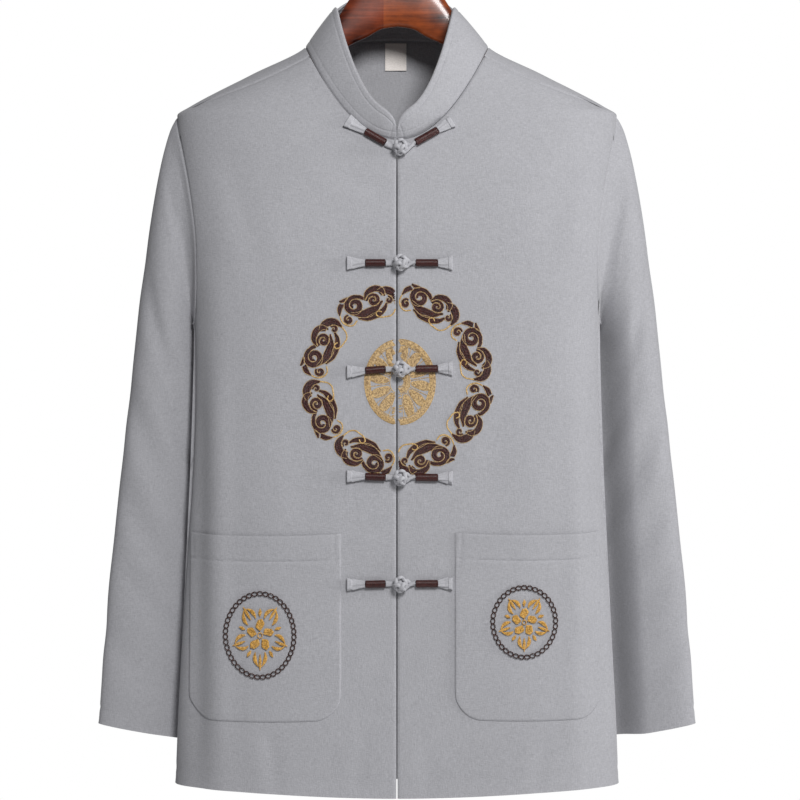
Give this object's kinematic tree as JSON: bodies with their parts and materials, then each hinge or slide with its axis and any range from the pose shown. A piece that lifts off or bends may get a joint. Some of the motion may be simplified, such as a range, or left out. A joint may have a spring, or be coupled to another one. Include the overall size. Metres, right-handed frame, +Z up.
{
  "type": "tai chi shirt on a wooden hanger",
  "caption": "Grey long-sleeved tai chi shirt with a standing collar, frog fastenings and patch pockets, held open at the neck by a contoured wooden hanger with a wire hook.",
  "frame": {"origin": "the seat of the hook, the highest point of the inside of its bend, where it hangs on a rail", "axes": "+Z up, +X to the right of someone who faces the front of the shirt, -Y towards them"},
  "size_m": [0.594, 0.1441, 0.907],
  "materials": {
    "cloth": "fine plain weave with a soft sheen",
    "wrap": "dark red-brown satin cord",
    "label": "woven cream tape, bare",
    "embroidery_brown": "dark brown embroidery thread",
    "embroidery_gold": "metallic gold embroidery thread",
    "wood": "varnished red-brown hardwood",
    "metal": "polished wire"
  },
  "bodies": {
    "root": {"front_left": "cloth", "front_right": "cloth", "back": "cloth", "sleeve_left": "cloth", "sleeve_right": "cloth", "collar": "cloth", "pocket_left": "cloth", "pocket_right": "cloth", "frog_1_strap_left": "cloth", "frog_1_wrap_left": "wrap", "frog_1_knot": "cloth", "frog_1_loop": "cloth", "frog_1_wrap_right": "wrap", "frog_1_strap_right": "cloth", "frog_2_strap_left": "cloth", "frog_2_wrap_left": "wrap", "frog_2_knot": "cloth", "frog_2_loop": "cloth", "frog_2_wrap_right": "wrap", "frog_2_strap_right": "cloth", "frog_3_strap_left": "cloth", "frog_3_wrap_left": "wrap", "frog_3_knot": "cloth", "frog_3_loop": "cloth", "frog_3_wrap_right": "wrap", "frog_3_strap_right": "cloth", "frog_4_strap_left": "cloth", "frog_4_wrap_left": "wrap", "frog_4_knot": "cloth", "frog_4_loop": "cloth", "frog_4_wrap_right": "wrap", "frog_4_strap_right": "cloth", "frog_5_strap_left": "cloth", "frog_5_wrap_left": "wrap", "frog_5_knot": "cloth", "frog_5_loop": "cloth", "frog_5_wrap_right": "wrap", "frog_5_strap_right": "cloth", "label": "label", "hanger_left": "wood", "hanger_right": "wood", "hook": "metal"}
  },
  "joints": []
}
